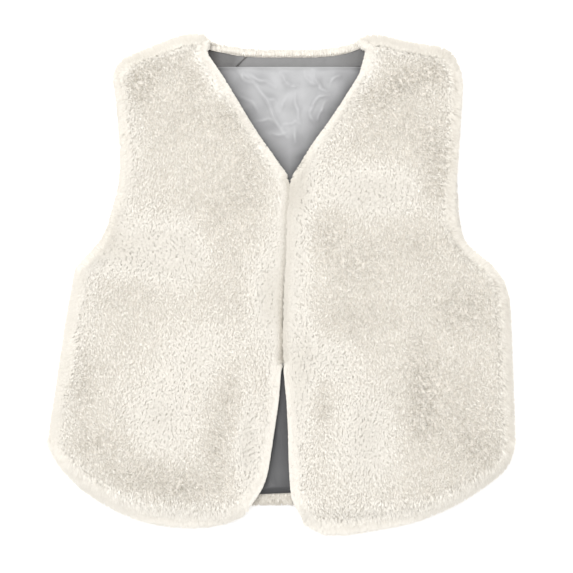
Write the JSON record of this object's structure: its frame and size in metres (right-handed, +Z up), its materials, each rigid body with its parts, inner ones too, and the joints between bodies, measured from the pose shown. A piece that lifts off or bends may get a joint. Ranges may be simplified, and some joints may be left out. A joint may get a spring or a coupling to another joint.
{
  "type": "child's faux fur vest",
  "caption": "Sleeveless open-front vest in plush faux fur with a V neck, curved hems and a satin back lining, lying flat on its back.",
  "frame": {"origin": "centre of the footprint on the surface that the vest lies on", "axes": "+Y from hem to neck, +X to the wearer's left, +Z up, away from the surface, out of the vest's front"},
  "size_m": [0.3911, 0.4193, 0.0242],
  "materials": {
    "fur": "cream plush faux fur, 11 mm pile, matt",
    "lining": "light grey satin, soft sheen, creased",
    "facing": "grey satin, soft sheen"
  },
  "bodies": {
    "root": {"back_panel": "fur", "front_right": "fur", "front_left": "fur", "back_lining": "lining", "neck_facing": "facing", "neck_facing_end": "facing"}
  },
  "joints": []
}
